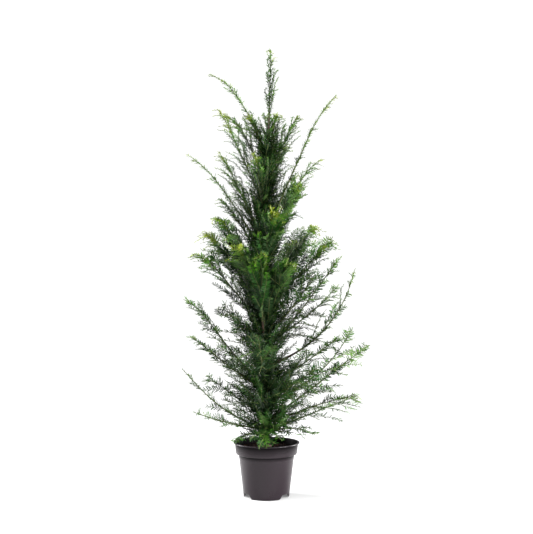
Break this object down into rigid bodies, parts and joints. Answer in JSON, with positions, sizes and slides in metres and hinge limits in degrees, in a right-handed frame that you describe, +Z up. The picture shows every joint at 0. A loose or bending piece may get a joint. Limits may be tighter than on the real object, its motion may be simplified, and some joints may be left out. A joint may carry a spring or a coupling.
{
  "type": "potted yew",
  "caption": "Young upright yew in a round dark plastic nursery pot: slender trunk, rising side shoots with dense sprays of needles, long thin whips standing out of the outline.",
  "frame": {"origin": "centre of the pot's flat underside, on the ground", "axes": "+Z up along the pot's axis, -Y towards the viewer of the picture, +X to the viewer's right"},
  "size_m": [0.6218, 0.4532, 1.4828],
  "materials": {
    "pot_plastic": "smooth injection-moulded plastic with a soft sheen",
    "potting_soil": "damp, crumbly, matte",
    "bark": "thin flaking bark, matte",
    "needles": "leathery needles, slightly glossy above and paler below"
  },
  "bodies": {
    "root": {"bough_front_middle": "bark", "bough_left_arm": "bark", "bough_right_low_long": "bark", "bough_right_sweep": "bark", "bough_right_whip": "bark", "foliage_back_crest": "needles", "foliage_back_dome_left": "needles", "foliage_back_dome_right": "needles", "foliage_back_low_left": "needles", "foliage_back_low_right": "needles", "foliage_back_middle": "needles", "foliage_back_upper_left": "needles", "foliage_back_upper_right": "needles", "foliage_foot_left": "needles", "foliage_front_crest": "needles", "foliage_front_dome_left": "needles", "foliage_front_dome_right": "needles", "foliage_front_foot": "needles", "foliage_front_high": "needles", "foliage_front_low_middle": "needles", "foliage_front_low_right": "needles", "foliage_front_middle": "needles", "foliage_front_upper": "needles", "foliage_heart_right": "needles", "foliage_leader": "needles", "foliage_left_arm": "needles", "foliage_left_crest": "needles", "foliage_left_crest_inner": "needles", "foliage_left_dome_high": "needles", "foliage_left_dome_low": "needles", "foliage_left_dome_mid": "needles", "foliage_left_inner": "needles", "foliage_left_low_twig": "needles", "foliage_left_low_whip": "needles", "foliage_left_shoulder": "needles", "foliage_left_skirt_high": "needles", "foliage_left_skirt_mid": "needles", "foliage_left_upper": "needles", "foliage_left_whip": "needles", "foliage_right_arm": "needles", "foliage_right_arm_inner": "needles", "foliage_right_crest": "needles", "foliage_right_dome_high": "needles", "foliage_right_dome_low": "needles", "foliage_right_dome_mid": "needles", "foliage_right_droop": "needles", "foliage_right_fork": "needles", "foliage_right_low_end": "needles", "foliage_right_low_long": "needles", "foliage_right_low_mid": "needles", "foliage_right_shoulder": "needles", "foliage_right_sweep": "needles", "foliage_right_whip": "needles", "foliage_top_back": "needles", "foliage_top_left": "needles", "foliage_top_right": "needles", "foliage_upper_left": "needles", "pot": "pot_plastic", "soil": "potting_soil", "trunk": "bark"}
  },
  "joints": []
}
